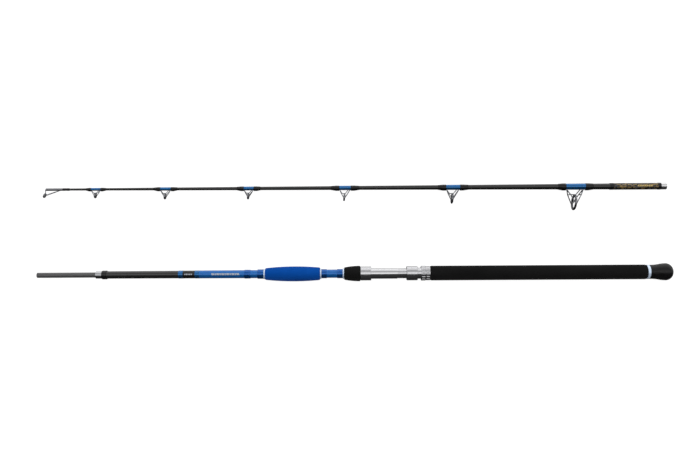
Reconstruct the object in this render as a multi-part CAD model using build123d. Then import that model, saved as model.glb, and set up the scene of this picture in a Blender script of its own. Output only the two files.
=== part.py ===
from build123d import *

import math
import os

# A two-piece boat fishing rod, taken apart and laid down: the tip section with six line guides
# and a tip ring, and beside it the butt section with its grips and screw-down reel seat.
# Millimetres. +X runs from the tip towards the butt, and +Z is up from the surface that both
# sections lie on. The guides and the reel-foot pockets face -Y. Each section is drawn along
# its own X axis, from 0 at its front end, and is then laid in its place.

# ---- how the two sections lie
SECTION_SPACING = 172.0

# ---- clearances
BORE_CLEARANCE = 0.05  # the tip section's socket around the spigot, on the radius
SLIDE_CLEARANCE = 0.15  # the sliding hood around the seat tube, on the radius
THREAD_CLEARANCE = 0.1  # the nuts around the thread's crests, on the radius
CAP_CLEARANCE = 0.1  # the butt cap around the gimbal nock, on the radius
END_GAP = 0.3  # between neighbours that move apart, along the axis

# ---- tip section: the blank, as distances from the front of the tip ring, and radii there
TIP_LENGTH = 1252.0
TIP_BLANK_START = 10.0
TIP_BLANK_RADII = [(10.0, 2.0), (325.0, 3.15), (717.0, 4.3), (987.0, 5.35)]
TIP_LEVEL_LENGTH = 113.0  # at the female end, where the blank no longer widens
TIP_SOCKET_WALL = 0.85
TIP_BLANK_BORE_START = 60.0
TIP_BLANK_BORE_RADIUS = 0.8
TIP_BLANK_WALL = 1.1
SOCKET_RUNOUT = 4.0

# ---- tip section: the tip ring on its tube
TIP_TUBE_START = 6.4
TIP_TUBE_END = 41.0
TIP_TUBE_WALL = 0.5
TIP_RING_RADIUS = 4.9
TIP_RING_DROP = 12.0  # from the blank's axis to the ring's centre
TIP_RING_CENTRE = 4.2
TIP_RING_LEAN = 24.0  # degrees, with the ring's lower edge forward
TIP_WIRE_RADIUS = 0.6
TIP_ARM_THICKENING = 1.4  # the front arm's wire, of the struts'
TIP_STRUT_SPREAD = 0.85  # half the struts' spread where they bend, of the ring's middle radius
TIP_WHIPPINGS = [(41.0, 46.5), (47.8, 54.0)]
TIP_WHIPPING_THICKNESS = 0.55
THREAD_ROUNDING = 0.25  # where epoxy rounds off the ends of a short binding

# ---- tip section: the guides, from the tip to the butt
# distance from the female end, hoop outer radius, axis to hoop bottom, band and binding lengths
GUIDES = [
    dict(from_end=1146.0, radius=5.5, drop=18.0, band=19.0, binding=40.0, wire=0.6),
    dict(from_end=1006.0, radius=6.2, drop=21.0, band=21.0, binding=47.0, wire=0.65),
    dict(from_end=839.0, radius=6.6, drop=22.0, band=20.0, binding=48.0, wire=0.7),
    dict(from_end=646.0, radius=7.8, drop=26.5, band=23.0, binding=57.0, wire=0.75),
    dict(from_end=429.5, radius=10.5, drop=33.0, band=28.0, binding=61.0, wire=0.85),
    dict(from_end=184.5, radius=16.0, drop=47.5, band=39.0, binding=71.0, wire=1.0),
]
GUIDE_LEAN = 5.0  # degrees, with the ring's lower edge forward
HOOP_WALL = 0.15  # the metal hoop's radial thickness, of its radius
CERAMIC_WALL = 0.14  # the ceramic ring's radial thickness, of the hoop's radius
HOOP_WIDTH = 2.6
HOOP_ROUNDING = 0.8  # of the hoop's thickness
CERAMIC_ROUNDING = 0.85  # of the ceramic ring's thickness
HOOP_WIDTH_GAIN = 0.1  # more width for each millimetre of radius over the smallest hoop
CERAMIC_PROUD = 0.35  # how far the ceramic ring stands out of the hoop at each face
LEG_ANGLE = 12.0  # degrees, from the ring's level to where a leg meets it
BAND_SHIFT = 0.07  # from the ring's centre back to the band's, of the band's length
# reaches along the blank from the ring's centre, of the band's length: where the foot begins,
# where the legs leave it, where they bend, and where the bowl wire bends
GUIDE_SIDES = (
    dict(way=-1, foot=0.34, leg=0.34, shoulder=0.25, bowl=0.18),
    dict(way=1, foot=0.28, leg=0.43, shoulder=0.3, bowl=0.09),
)
LEG_SHOULDER_LOW = 0.05  # from the hoop's top to where a leg bends, of the hoop's radius
LEG_SHOULDER_WIDE = 0.62  # half the legs' spread where they bend, of the hoop's radius
LEG_BEND = 1.6  # a leg's bend, of its wire's radius
BRACE_THINNING = 0.9  # the brace's wire, of the legs'
BRACED_FROM_RADIUS = 7.0  # larger guides have a brace between the legs
BOWL_BEND = 2.0  # the bowl wire's bend, of its radius
FOOT_THICKNESS = 1.0
FOOT_END_THICKNESS = 0.2
FOOT_INSET = 3.0  # from the foot's ground end to the end of its binding
FOOT_WIDTH_SHARE = 0.38  # half the foot's width, of the blank's radius
BINDING_TOP = 0.75  # thread and epoxy over the blank, on the side away from the foot
BINDING_OVER_FOOT = 0.75  # thread and epoxy over the foot
BINDING_END = 0.2  # thickness left where the epoxy runs out
BINDING_TAPER_SHARE = 0.6  # of one binding's length
BAND_THICKNESS = 0.55

# ---- tip section: the ferrule, back from the female end
FERRULE_RING_LENGTH = 11.0
FERRULE_RING_THICKNESS = 0.6
FERRULE_REAR_BAND_LENGTH = 6.0
FERRULE_REAR_BAND_THICKNESS = 0.9
FERRULE_SLEEVE_LENGTH = 89.0
FERRULE_SLEEVE_THICKNESS = 0.6
FERRULE_FRONT_BAND_LENGTH = 7.0
FERRULE_FRONT_BAND_THICKNESS = 0.7

# ---- butt section: front end
SPIGOT_LENGTH = 118.0
SPIGOT_RADIUS = 5.2
SPIGOT_GLUED_LENGTH = 90.0
SPIGOT_GLUED_STEP = 0.2  # how much thinner the spigot is where it is glued in
SPIGOT_WALL = 1.4
SPIGOT_ROUNDING = 0.8
BORE_TAPER_LENGTH = 10.0  # behind the spigot, where the blank's bore opens out
STOP_RING_LENGTH = 12.5
STOP_RING_THICKNESS = 2.2
KNOB_LENGTH = 10.0
KNOB_THICKNESS = 1.3
KNOB_ROUNDING = 1.0
BARE_LENGTH = 143.5
PANEL_BAND_LENGTH = 9.0
PANEL_BAND_THICKNESS = 0.35
PANEL_LENGTH = 24.0
PANEL_THICKNESS = 0.15
FRONT_SLEEVE_LENGTH = 128.8
LACQUER_THICKNESS = 0.25
BUTT_BLANK_RADIUS = 8.1
BUTT_BLANK_TAPER = 0.65  # how much less the radius is at the blank's front end
BUTT_BLANK_WALL = 1.5
FRONT_TRIM = [(90.0, 102.0, 0.75), (116.3, 128.8, 1.3)]  # start, end and thickness on the sleeve

# ---- butt section: grips
CHECK_LENGTH = 3.0
CHECK_THICKNESS = 2.3
CHECK_ROUNDING = 0.35  # of a check ring's length
FOREGRIP_LENGTH = 109.7
FOREGRIP_FRONT_RADIUS = 11.8
FOREGRIP_MIDDLE_RADIUS = 15.0
FOREGRIP_REAR_RADIUS = 12.6
FOREGRIP_MIDDLE = 0.5  # where the belly is, of the grip's length
REAR_SLEEVE_LENGTH = 42.5
REAR_TRIM = [(0.0, 10.5, 0.9), (31.5, 42.5, 0.9)]
WRAP_ROUNDING = 0.6  # of a trim wrap's thickness
CONE_LENGTH = 32.1
CONE_FRONT_RADIUS = 12.4
CONE_REAR_RADIUS = 15.6
REAR_GRIP_LENGTH = 433.5
REAR_GRIP_RADIUS = 14.8
GRIP_ROUNDING = 2.0
TRIM_RING_LENGTH = 5.0
TRIM_RING_RADIUS = 14.2

# ---- butt section: reel seat
SEAT_LENGTH = 140.1
ARBOR_THICKNESS = 1.1
SEAT_TUBE_WALL = 1.5
SEAT_SMOOTH_LENGTH = 74.4
THREAD_RELIEF = 0.5  # from the smooth tube's surface down to the thread's crests
THREAD_DEPTH = 0.45
THREAD_PITCH = 2.0
THREAD_PROFILE = (0.2, 0.5, 0.7, 1.0)  # root, crest, crest and root, of the pitch
ARBOR_LENGTH = 34.0
ARBOR_INSET = 12.0
KEYWAY_WIDTH = 3.0
KEYWAY_DEPTH = 0.7
KEY_WIDTH = 2.6
FIXED_HOOD_LENGTH = 21.9
FIXED_HOOD_THICKNESS = 3.2
SLIDING_HOOD_LENGTH = 22.0
SLIDING_HOOD_THICKNESS = 3.35
POCKET_DEPTH = 15.0
POCKET_WIDTH = 19.0
POCKET_HEIGHT = 2.3
HOOD_LIP_LENGTH = 2.4  # the sliding hood's lip, behind the clamp nut's
KEY_ROOT = 0.5  # how far the key runs up into the hood
HOOD_ROUNDING = 1.2
NUT_COLLAR_THICKNESS = 0.7
NUT_LIP_LENGTH = 2.6
NUT_LIP_HEIGHT = 0.7
CLAMP_NUT_GAP = 7.0  # from the sliding hood's rear face to the knurl
CLAMP_NUT_LENGTH = 8.8
CLAMP_NUT_THICKNESS = 4.5
LOCK_NUT_LENGTH = 8.4
LOCK_NUT_THICKNESS = 4.0
NUT_GAP = 0.5
NUT_ROUNDING = 0.6
KNURL_GROOVES = 16
KNURL_GROOVE_RADIUS = 2.0
KNURL_GROOVE_DEPTH = 1.1
KNURL_MARGIN = 1.2

# ---- butt section: gimbal nock and butt cap
NOCK_THICKNESS = 4.1  # around the blank's end
NOCK_SOLID_LENGTH = 14.0
NOCK_WEB = 5.0
NOCK_LENGTH = 34.0
NOCK_BORE_RADIUS = 9.0
NOCK_SLOT_WIDTH = 6.5
NOCK_SLOT_DEPTH = 12.0
NOCK_ROUNDING = 1.0
CAP_LENGTH = 47.3
CAP_LIP_THICKNESS = 1.8
CAP_WAIST_RISE = 0.4  # over the lip's radius
CAP_FLARE_RISE = 3.0  # over the lip's radius
CAP_END_RADIUS = 6.0
CAP_GRIP_LENGTH = 18.0
CAP_RELIEF = 0.7  # how much wider the cap's inside is past its grip on the nock
CAP_FLOOR = 6.0
CAP_WAIST_X = 12.0  # from the cap's lip
CAP_SHOULDER_LENGTH = 13.5  # from the widest place to the end

# ---- stations along the tip section
SOCKET_RADIUS = SPIGOT_RADIUS + BORE_CLEARANCE
FEMALE_END_RADIUS = SOCKET_RADIUS + TIP_SOCKET_WALL
TIP_RADII = TIP_BLANK_RADII + [(TIP_LENGTH - TIP_LEVEL_LENGTH, FEMALE_END_RADIUS)]
FERRULE_RING_START = TIP_LENGTH - FERRULE_RING_LENGTH
REAR_BAND_START = FERRULE_RING_START - FERRULE_REAR_BAND_LENGTH
FERRULE_SLEEVE_START = REAR_BAND_START - FERRULE_SLEEVE_LENGTH
FRONT_BAND_START = FERRULE_SLEEVE_START - FERRULE_FRONT_BAND_LENGTH
SOCKET_START = TIP_LENGTH - SPIGOT_LENGTH - SOCKET_RUNOUT

# ---- stations along the butt section
KNOB_START = SPIGOT_LENGTH + STOP_RING_LENGTH
BARE_START = KNOB_START + KNOB_LENGTH
PANEL_BAND_START = BARE_START + BARE_LENGTH
PANEL_START = PANEL_BAND_START + PANEL_BAND_LENGTH
PANEL_END = PANEL_START + PANEL_LENGTH
FRONT_SLEEVE_START = PANEL_END + PANEL_BAND_LENGTH
FRONT_CHECK_START = FRONT_SLEEVE_START + FRONT_SLEEVE_LENGTH
FOREGRIP_START = FRONT_CHECK_START + CHECK_LENGTH
MIDDLE_CHECK_START = FOREGRIP_START + FOREGRIP_LENGTH
REAR_SLEEVE_START = MIDDLE_CHECK_START + CHECK_LENGTH
REAR_CHECK_START = REAR_SLEEVE_START + REAR_SLEEVE_LENGTH
CONE_START = REAR_CHECK_START + CHECK_LENGTH
SEAT_START = CONE_START + CONE_LENGTH
SEAT_END = SEAT_START + SEAT_LENGTH
REAR_GRIP_END = SEAT_END + REAR_GRIP_LENGTH
NOCK_START = REAR_GRIP_END + TRIM_RING_LENGTH
BUTT_BLANK_END = NOCK_START + NOCK_SOLID_LENGTH - NOCK_WEB
BUTT_LENGTH = NOCK_START + CAP_LENGTH
BUTT_BLANK_FRONT_RADIUS = BUTT_BLANK_RADIUS - BUTT_BLANK_TAPER
BUTT_RADII = [(KNOB_START, BUTT_BLANK_FRONT_RADIUS), (REAR_CHECK_START, BUTT_BLANK_RADIUS)]
SPIGOT_GLUED_RADIUS = SPIGOT_RADIUS - SPIGOT_GLUED_STEP

# ---- the reel seat with its nuts run right back, from its rear end forward
LOCK_NUT_END = SEAT_END - NUT_GAP
LOCK_NUT_START = LOCK_NUT_END - LOCK_NUT_LENGTH
CLAMP_NUT_END = LOCK_NUT_START - NUT_GAP
CLAMP_NUT_START = CLAMP_NUT_END - CLAMP_NUT_LENGTH
SLIDING_HOOD_REAR = CLAMP_NUT_START - CLAMP_NUT_GAP
SLIDING_HOOD_FRONT = SLIDING_HOOD_REAR - SLIDING_HOOD_LENGTH
HOOD_LIP_START = SLIDING_HOOD_REAR - HOOD_LIP_LENGTH

# ---- radii of the reel seat, out from the blank, and of the nock and cap
SEAT_TUBE_BORE_RADIUS = BUTT_BLANK_RADIUS + ARBOR_THICKNESS
SEAT_TUBE_RADIUS = SEAT_TUBE_BORE_RADIUS + SEAT_TUBE_WALL
THREAD_CREST_RADIUS = SEAT_TUBE_RADIUS - THREAD_RELIEF
THREAD_ROOT_RADIUS = THREAD_CREST_RADIUS - THREAD_DEPTH
KEYWAY_FLOOR_RADIUS = SEAT_TUBE_RADIUS - KEYWAY_DEPTH
FIXED_HOOD_RADIUS = SEAT_TUBE_RADIUS + FIXED_HOOD_THICKNESS
HOOD_BORE_RADIUS = SEAT_TUBE_RADIUS + SLIDE_CLEARANCE
SLIDING_HOOD_RADIUS = HOOD_BORE_RADIUS + SLIDING_HOOD_THICKNESS
NUT_BORE_RADIUS = THREAD_CREST_RADIUS + THREAD_CLEARANCE
NUT_COLLAR_RADIUS = NUT_BORE_RADIUS + NUT_COLLAR_THICKNESS
NUT_LIP_RADIUS = NUT_COLLAR_RADIUS + NUT_LIP_HEIGHT
CLAMP_NUT_RADIUS = NUT_BORE_RADIUS + CLAMP_NUT_THICKNESS
LOCK_NUT_RADIUS = NUT_BORE_RADIUS + LOCK_NUT_THICKNESS
NOCK_RADIUS = BUTT_BLANK_RADIUS + NOCK_THICKNESS
CAP_BORE_RADIUS = NOCK_RADIUS + CAP_CLEARANCE
CAP_FRONT_RADIUS = CAP_BORE_RADIUS + CAP_LIP_THICKNESS
CAP_FLARE_RADIUS = CAP_FRONT_RADIUS + CAP_FLARE_RISE

# ---- places of the two sections' axes
LARGEST_HOOP_RADIUS = max(guide["radius"] for guide in GUIDES)
TIP_HALF_WIDTH = FEMALE_END_RADIUS + FERRULE_REAR_BAND_THICKNESS
BUTT_HALF_WIDTH = CAP_FLARE_RADIUS
TOTAL_WIDTH = SECTION_SPACING + TIP_HALF_WIDTH + BUTT_HALF_WIDTH
BUTT_PLACE = Pos(-BUTT_LENGTH / 2, BUTT_HALF_WIDTH - TOTAL_WIDTH / 2, CAP_FLARE_RADIUS)
TIP_PLACE = Pos(-TIP_LENGTH / 2, TOTAL_WIDTH / 2 - TIP_HALF_WIDTH, LARGEST_HOOP_RADIUS)

SIDES = (-1, 1)


def save(name, shape, place):
    """Write one node, laid in its place."""
    solids = (place * shape).solids()
    node = solids[0] if len(solids) == 1 else Compound(children=list(solids))
    node.label = name
    export_step(node, os.path.join("parts", name + ".step"))


def turned(outline, rounded=(), radius=0.0):
    """A solid turned about X from (x, radius) points, with the listed corners rounded."""
    face = make_face(Polyline(*outline, close=True))
    if rounded:
        corners = [face.vertices().sort_by_distance((x, y, 0))[0] for x, y in rounded]
        face = fillet(corners, radius)
    return revolve(face, Axis.X)


def turned_between(start, end, inner, outer):
    """A plain turned ring."""
    return turned([(start, inner), (start, outer), (end, outer), (end, inner)])


def rod_between(start, end, radius):
    """A plain cylinder along X."""
    return Pos((start + end) / 2, 0, 0) * Rot(0, 90, 0) * Cylinder(radius, end - start)


def wire(points, radius, bend):
    """Round wire along straight runs joined by bends of one radius."""
    path = FilletPolyline(*points, radius=bend) if bend else Polyline(*points)
    section = Plane(origin=path @ 0, z_dir=path % 0) * Circle(radius)
    return sweep(section, path=path)


def radius_along(stations, x):
    """Radius at x on a line through (x, radius) stations, level past both ends."""
    if x <= stations[0][0]:
        return stations[0][1]
    for (x0, r0), (x1, r1) in zip(stations, stations[1:]):
        if x <= x1:
            return r0 + (r1 - r0) * (x - x0) / (x1 - x0)
    return stations[-1][1]


def skin(stations, start, end, offset=0.0):
    """The (x, radius) points of a blank's surface from start to end, moved out by offset."""
    places = [start] + [x for x, _ in stations if start < x < end] + [end]
    return [(x, radius_along(stations, x) + offset) for x in places]


def sleeve(stations, start, end, thickness, rounding=0.0):
    """A close sleeve of one thickness on a tapered blank."""
    inner = skin(stations, start, end)
    outer = skin(stations, start, end, thickness)
    corners = (outer[0], outer[-1]) if rounding else ()
    return turned(inner + outer[::-1], corners, rounding)


def solid_blank(stations, start, end):
    """The outside of a blank, with no bore, for cutting what lies on it."""
    return turned([(start, 0)] + skin(stations, start, end) + [(end, 0)])


# ---------------------------------------------------------------- tip section

def make_tip_blank():
    outer = skin(TIP_RADII, TIP_BLANK_START, TIP_LENGTH)
    inner = [(TIP_LENGTH, SOCKET_RADIUS), (SOCKET_START, SOCKET_RADIUS)]
    for x in (SOCKET_START - SOCKET_RUNOUT, TIP_RADII[2][0], TIP_RADII[1][0]):
        inner.append((x, radius_along(TIP_RADII, x) - TIP_BLANK_WALL))
    inner += [(TIP_BLANK_BORE_START, TIP_BLANK_BORE_RADIUS), (TIP_BLANK_BORE_START, 0)]
    return turned(outer + inner + [(TIP_BLANK_START, 0)])


def ring_pair(radius, width, centre_x, drop, lean):
    """The metal hoop, the ceramic ring pressed into it, and the hoop's hole as a cutter."""
    hoop_inner = radius * (1 - HOOP_WALL)
    hole = hoop_inner - radius * CERAMIC_WALL
    half = width / 2
    outline = [(-half, hoop_inner), (-half, radius), (half, radius), (half, hoop_inner)]
    hoop = turned(outline, outline[1:3], min(radius * HOOP_WALL, half) * HOOP_ROUNDING)
    proud = half + CERAMIC_PROUD
    outline = [(-proud, hole), (-proud, hoop_inner), (proud, hoop_inner), (proud, hole)]
    ceramic = turned(outline, (outline[0], outline[3]), (hoop_inner - hole) * CERAMIC_ROUNDING)
    cutter = rod_between(-proud - END_GAP, proud + END_GAP, hoop_inner)
    place = Pos(centre_x, -drop, 0) * Rot(0, 0, -lean)
    return place * hoop, place * ceramic, place * cutter


def make_foot(near, far, seat, width):
    """One foot of a guide's frame, ground thin towards its far end."""
    outline = Polyline(
        (near, -seat),
        (near, -seat - FOOT_THICKNESS),
        (far, -seat - FOOT_END_THICKNESS),
        (far, -seat),
        close=True,
    )
    return extrude(make_face(outline), width / 2, both=True)


def make_leg_wires(guide, side, centre, seat, width):
    """The two legs on one side of a guide's ring, and on a large guide their brace."""
    radius = guide["radius"]
    wire_radius = guide["wire"]
    ring_drop = guide["drop"] - radius
    root_x = centre + side["way"] * (side["leg"] * guide["band"] + FOOT_THICKNESS)
    shoulder_x = centre + side["way"] * side["shoulder"] * guide["band"]
    shoulder_y = -(ring_drop - radius + LEG_SHOULDER_LOW * radius)
    shoulder_z = LEG_SHOULDER_WIDE * radius
    reach = radius * (1 - HOOP_WALL / 2)
    angle = math.radians(LEG_ANGLE)
    lean_shift = math.tan(math.radians(GUIDE_LEAN)) * reach * math.sin(angle)
    end_x = centre - lean_shift + side["way"] * width / 4
    end_y = -(ring_drop + reach * math.sin(angle))
    wires = []
    for way in SIDES:
        start = (root_x, -(seat + FOOT_THICKNESS / 2), way * wire_radius / 2)
        shoulder = (shoulder_x, shoulder_y, way * shoulder_z)
        end = (end_x, end_y, way * reach * math.cos(angle))
        wires.append(wire([start, shoulder, end], wire_radius, wire_radius * LEG_BEND))
    if radius > BRACED_FROM_RADIUS:
        brace = [(shoulder_x, shoulder_y, -shoulder_z), (shoulder_x, shoulder_y, shoulder_z)]
        wires.append(wire(brace, wire_radius * BRACE_THINNING, 0))
    return wires


def make_binding(near, far, seat, blank, frame):
    """Thread and epoxy over one foot, running out towards its far end."""
    top = seat + BINDING_TOP
    bottom = seat + FOOT_THICKNESS + BINDING_OVER_FOOT
    radius = (top + bottom) / 2
    shift = top - radius
    shoulder = far + (near - far) * BINDING_TAPER_SHARE
    start, end = sorted((near, shoulder))
    binding = Pos(0, shift, 0) * rod_between(start, end, radius)
    near_edge = binding.edges().filter_by(GeomType.CIRCLE).sort_by_distance((near, 0, 0))[0]
    binding = fillet(near_edge, BINDING_END * 2)
    far_radius = radius_along(TIP_RADII, far) + BINDING_END
    wide = Plane(origin=(shoulder, shift, 0), z_dir=(1, 0, 0)) * Circle(radius)
    narrow = Plane(origin=(far, 0, 0), z_dir=(1, 0, 0)) * Circle(far_radius)
    binding = binding + loft([wide, narrow]) - blank - frame
    return binding.solids().sort_by(SortBy.VOLUME)[-1]


def make_guide(guide):
    """One double-foot wire guide on the blank: frame, ceramic ring, bindings and band."""
    centre = TIP_LENGTH - guide["from_end"]
    radius = guide["radius"]
    wire_radius = guide["wire"]
    half_band = guide["band"] / 2
    half_binding = guide["binding"] / 2
    middle = centre + BAND_SHIFT * guide["band"]
    seat = radius_along(TIP_RADII, middle + half_binding - FOOT_INSET)
    ring_drop = guide["drop"] - radius
    hoop_top = ring_drop - radius
    width = HOOP_WIDTH + HOOP_WIDTH_GAIN * (radius - GUIDES[0]["radius"])
    hoop, ceramic, hole = ring_pair(radius, width, centre, ring_drop, GUIDE_LEAN)
    blank = solid_blank(TIP_RADII, middle - guide["binding"], middle + guide["binding"])

    frame = hoop
    bowl = []
    for side in GUIDE_SIDES:
        near = centre + side["way"] * side["foot"] * guide["band"]
        far = middle + side["way"] * (half_binding - FOOT_INSET)
        frame += make_foot(near, far, seat, 2 * FOOT_WIDTH_SHARE * seat)
        for leg in make_leg_wires(guide, side, centre, seat, width):
            frame += leg
        root = (near + side["way"] * FOOT_THICKNESS, -(seat + FOOT_THICKNESS / 2), 0)
        bend = (centre + side["way"] * side["bowl"] * guide["band"], -(hoop_top + wire_radius / 2), 0)
        bowl += [root, bend] if side["way"] < 0 else [bend, root]
    frame += wire(bowl, wire_radius, wire_radius * BOWL_BEND)
    frame = frame - hole - blank

    bindings = []
    for way in SIDES:
        near = middle + way * half_band
        far = middle + way * half_binding
        bindings.append(make_binding(near, far, seat, blank, frame))
    band_ends = (middle - half_band, middle + half_band)
    band = sleeve(TIP_RADII, *band_ends, BAND_THICKNESS, THREAD_ROUNDING)
    return frame, ceramic, Compound(children=bindings), band - frame


def make_tip_top():
    """The tube over the blank's end, its two struts and arm, and the tip ring."""
    hoop, ceramic, hole = ring_pair(
        TIP_RING_RADIUS, HOOP_WIDTH, TIP_RING_CENTRE, TIP_RING_DROP, TIP_RING_LEAN
    )
    tube_radius = radius_along(TIP_RADII, TIP_TUBE_END) + TIP_TUBE_WALL
    outline = [
        (TIP_TUBE_START, 0),
        (TIP_TUBE_START, tube_radius),
        (TIP_TUBE_END, tube_radius),
        (TIP_TUBE_END, 0),
    ]
    tube = turned(outline, outline[1:2], tube_radius / 2)
    frame = hoop + tube
    lean = math.radians(TIP_RING_LEAN)
    reach = TIP_RING_RADIUS * (1 - HOOP_WALL / 2)
    ring_top = (TIP_RING_CENTRE + reach * math.sin(lean), -(TIP_RING_DROP - reach * math.cos(lean)), 0)
    arm = [(TIP_TUBE_START + 3, 0, 0), (TIP_TUBE_START - 0.6, -1.2, 0), ring_top]
    frame += wire(arm, TIP_WIRE_RADIUS * TIP_ARM_THICKENING, TIP_WIRE_RADIUS * 2)
    for way in SIDES:
        root = (TIP_TUBE_END - 6, -tube_radius + TIP_WIRE_RADIUS, way * TIP_WIRE_RADIUS * 1.3)
        bend = (TIP_RING_CENTRE + 7, -(TIP_RING_DROP - 2), way * reach * TIP_STRUT_SPREAD)
        end = (TIP_RING_CENTRE + 0.8, -TIP_RING_DROP, way * reach)
        frame += wire([root, bend, end], TIP_WIRE_RADIUS, TIP_WIRE_RADIUS * 3)
    frame -= hole
    frame -= solid_blank(TIP_RADII, TIP_BLANK_START, TIP_TUBE_END + 1)
    return frame, ceramic


# ---------------------------------------------------------------- butt section

def make_foregrip():
    middle = FOREGRIP_START + FOREGRIP_MIDDLE * FOREGRIP_LENGTH
    front = (FOREGRIP_START, FOREGRIP_FRONT_RADIUS)
    rear = (MIDDLE_CHECK_START, FOREGRIP_REAR_RADIUS)
    inner = skin(BUTT_RADII, FOREGRIP_START, MIDDLE_CHECK_START)
    belly = ThreePointArc(front, (middle, FOREGRIP_MIDDLE_RADIUS), rear)
    return revolve(make_face([belly, Polyline(rear, *inner[::-1], front)]), Axis.X)


def make_cone_grip():
    front = (CONE_START, CONE_FRONT_RADIUS)
    rear_edge = (SEAT_START - GRIP_ROUNDING / 2, CONE_REAR_RADIUS)
    rear = (SEAT_START, CONE_REAR_RADIUS - GRIP_ROUNDING / 2)
    inner = skin(BUTT_RADII, CONE_START, SEAT_START)
    flank = TangentArc(rear_edge, front, tangent=(-1, 0))
    return revolve(make_face([flank, Polyline(rear_edge, rear, *inner[::-1], front)]), Axis.X)


def make_rear_grip():
    outer = [(SEAT_END, REAR_GRIP_RADIUS), (REAR_GRIP_END, REAR_GRIP_RADIUS)]
    inner = [(REAR_GRIP_END, BUTT_BLANK_RADIUS), (SEAT_END, BUTT_BLANK_RADIUS)]
    return turned(outer + inner, outer, GRIP_ROUNDING)


def make_butt_blank():
    outer = skin(BUTT_RADII, KNOB_START, BUTT_BLANK_END)
    bore = BUTT_BLANK_RADIUS - BUTT_BLANK_WALL
    glued_end = SPIGOT_LENGTH + SPIGOT_GLUED_LENGTH
    inner = [
        (BUTT_BLANK_END, bore),
        (glued_end + BORE_TAPER_LENGTH, bore),
        (glued_end, SPIGOT_GLUED_RADIUS),
        (KNOB_START, SPIGOT_GLUED_RADIUS),
    ]
    return turned(outer + inner)


def make_spigot():
    end = SPIGOT_LENGTH + SPIGOT_GLUED_LENGTH
    inner = SPIGOT_GLUED_RADIUS - SPIGOT_WALL
    outline = [
        (0, inner),
        (0, SPIGOT_RADIUS),
        (SPIGOT_LENGTH, SPIGOT_RADIUS),
        (SPIGOT_LENGTH, SPIGOT_GLUED_RADIUS),
        (end, SPIGOT_GLUED_RADIUS),
        (end, inner),
    ]
    return turned(outline, outline[1:2], SPIGOT_ROUNDING)


def make_stop_ring():
    stop_radius = SPIGOT_GLUED_RADIUS + STOP_RING_THICKNESS
    outline = [
        (SPIGOT_LENGTH, SPIGOT_GLUED_RADIUS),
        (SPIGOT_LENGTH, stop_radius),
        (KNOB_START, stop_radius),
        (KNOB_START, SPIGOT_GLUED_RADIUS),
    ]
    return turned(outline, outline[1:2], SPIGOT_ROUNDING)


def make_check(start):
    """A thin trim ring where a grip or the seat begins."""
    radius = radius_along(BUTT_RADII, start) + CHECK_THICKNESS
    inner = skin(BUTT_RADII, start, start + CHECK_LENGTH)
    outer = [(start + CHECK_LENGTH, radius), (start, radius)]
    return turned(inner + outer, outer, CHECK_LENGTH * CHECK_ROUNDING)


def make_trim_wraps():
    """Bindings over the lacquered stretches, each thinner towards the stretch's middle."""
    wraps = []
    for origin, rows in ((FRONT_SLEEVE_START, FRONT_TRIM), (REAR_SLEEVE_START, REAR_TRIM)):
        for start, end, thickness in rows:
            inner = skin(BUTT_RADII, origin + start, origin + end, LACQUER_THICKNESS)
            outer = skin(BUTT_RADII, origin + start, origin + end, LACQUER_THICKNESS + thickness)
            corners = (outer[0], outer[-1])
            wraps.append(turned(inner + outer[::-1], corners, thickness * WRAP_ROUNDING))
    return Compound(children=wraps)


def pocket(face_x, way):
    """The space in a hood for one end of the reel's foot; way is the side it opens to."""
    start, end = sorted((face_x, face_x - way * POCKET_DEPTH))
    space = rod_between(start, end, SEAT_TUBE_RADIUS + POCKET_HEIGHT)
    space -= rod_between(start - 1, end + 1, SEAT_TUBE_RADIUS)
    reach = SEAT_TUBE_RADIUS + POCKET_HEIGHT
    return space & (Pos((start + end) / 2, -reach / 2, 0) * Box(end - start, reach, POCKET_WIDTH))


def make_fixed_hood():
    end = SEAT_START + FIXED_HOOD_LENGTH
    outline = [
        (SEAT_START, SEAT_TUBE_RADIUS),
        (SEAT_START, FIXED_HOOD_RADIUS),
        (end, FIXED_HOOD_RADIUS),
        (end, SEAT_TUBE_RADIUS),
    ]
    return turned(outline, outline[1:3], HOOD_ROUNDING) - pocket(end, 1)


def make_sliding_hood():
    """The hood turns a lip over the clamp nut's collar, so that the nut draws it both ways."""
    lip_room = NUT_LIP_RADIUS + SLIDE_CLEARANCE
    mouth = NUT_COLLAR_RADIUS + SLIDE_CLEARANCE
    room_start = HOOD_LIP_START - NUT_LIP_LENGTH - 2 * END_GAP
    outline = [
        (SLIDING_HOOD_FRONT, HOOD_BORE_RADIUS),
        (SLIDING_HOOD_FRONT, SLIDING_HOOD_RADIUS),
        (SLIDING_HOOD_REAR, SLIDING_HOOD_RADIUS),
        (SLIDING_HOOD_REAR, mouth),
        (HOOD_LIP_START, mouth),
        (HOOD_LIP_START, lip_room),
        (room_start, lip_room),
        (room_start, HOOD_BORE_RADIUS),
    ]
    hood = turned(outline, outline[1:3], HOOD_ROUNDING)
    hood -= pocket(SLIDING_HOOD_FRONT, -1)
    key_top = HOOD_BORE_RADIUS + KEY_ROOT
    key_floor = KEYWAY_FLOOR_RADIUS + SLIDE_CLEARANCE
    key_length = room_start - SLIDING_HOOD_FRONT - 2 * KEY_ROOT
    key_x = (SLIDING_HOOD_FRONT + room_start) / 2
    key = Pos(key_x, (key_top + key_floor) / 2, 0) * Box(key_length, key_top - key_floor, KEY_WIDTH)
    return hood + key


def keyway(start, end):
    """The groove along the seat tube, opposite the reel's foot."""
    height = SEAT_TUBE_RADIUS + 1 - KEYWAY_FLOOR_RADIUS
    place = Pos((start + end) / 2, KEYWAY_FLOOR_RADIUS + height / 2, 0)
    return place * Box(end - start, height, KEYWAY_WIDTH)


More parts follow.
